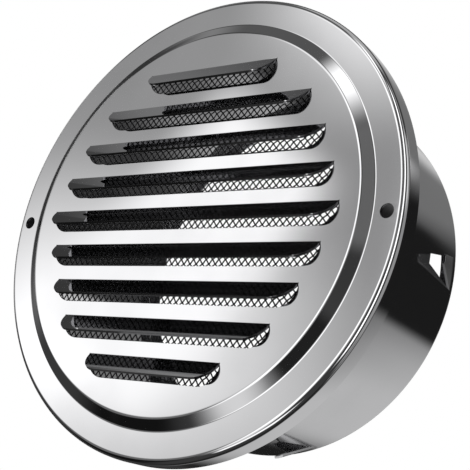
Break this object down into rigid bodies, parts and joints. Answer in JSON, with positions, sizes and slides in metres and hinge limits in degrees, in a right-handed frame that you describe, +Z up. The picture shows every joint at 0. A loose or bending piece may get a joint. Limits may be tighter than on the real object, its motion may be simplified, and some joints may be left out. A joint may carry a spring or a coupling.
{
  "type": "round vent cover",
  "caption": "Round louvred vent cover in polished stainless steel, with a raised face, a rim that sits on the wall, an insect screen and a barbed spigot collar for a duct.",
  "frame": {"origin": "on the collar's axis, in the wall plane that the rear edge of the rim sits on", "axes": "+X to the right seen from the front, +Y into the wall along the collar, +Z up"},
  "size_m": [0.1164, 0.0514, 0.1164],
  "materials": {
    "polished_sheet": "mirror polished stainless sheet",
    "polished_collar": "bright rolled stainless strip",
    "wire_cloth": "bright drawn stainless wire"
  },
  "bodies": {
    "root": {"face_plate": "polished_sheet", "collar": "polished_collar", "insect_screen": "wire_cloth"}
  },
  "joints": []
}
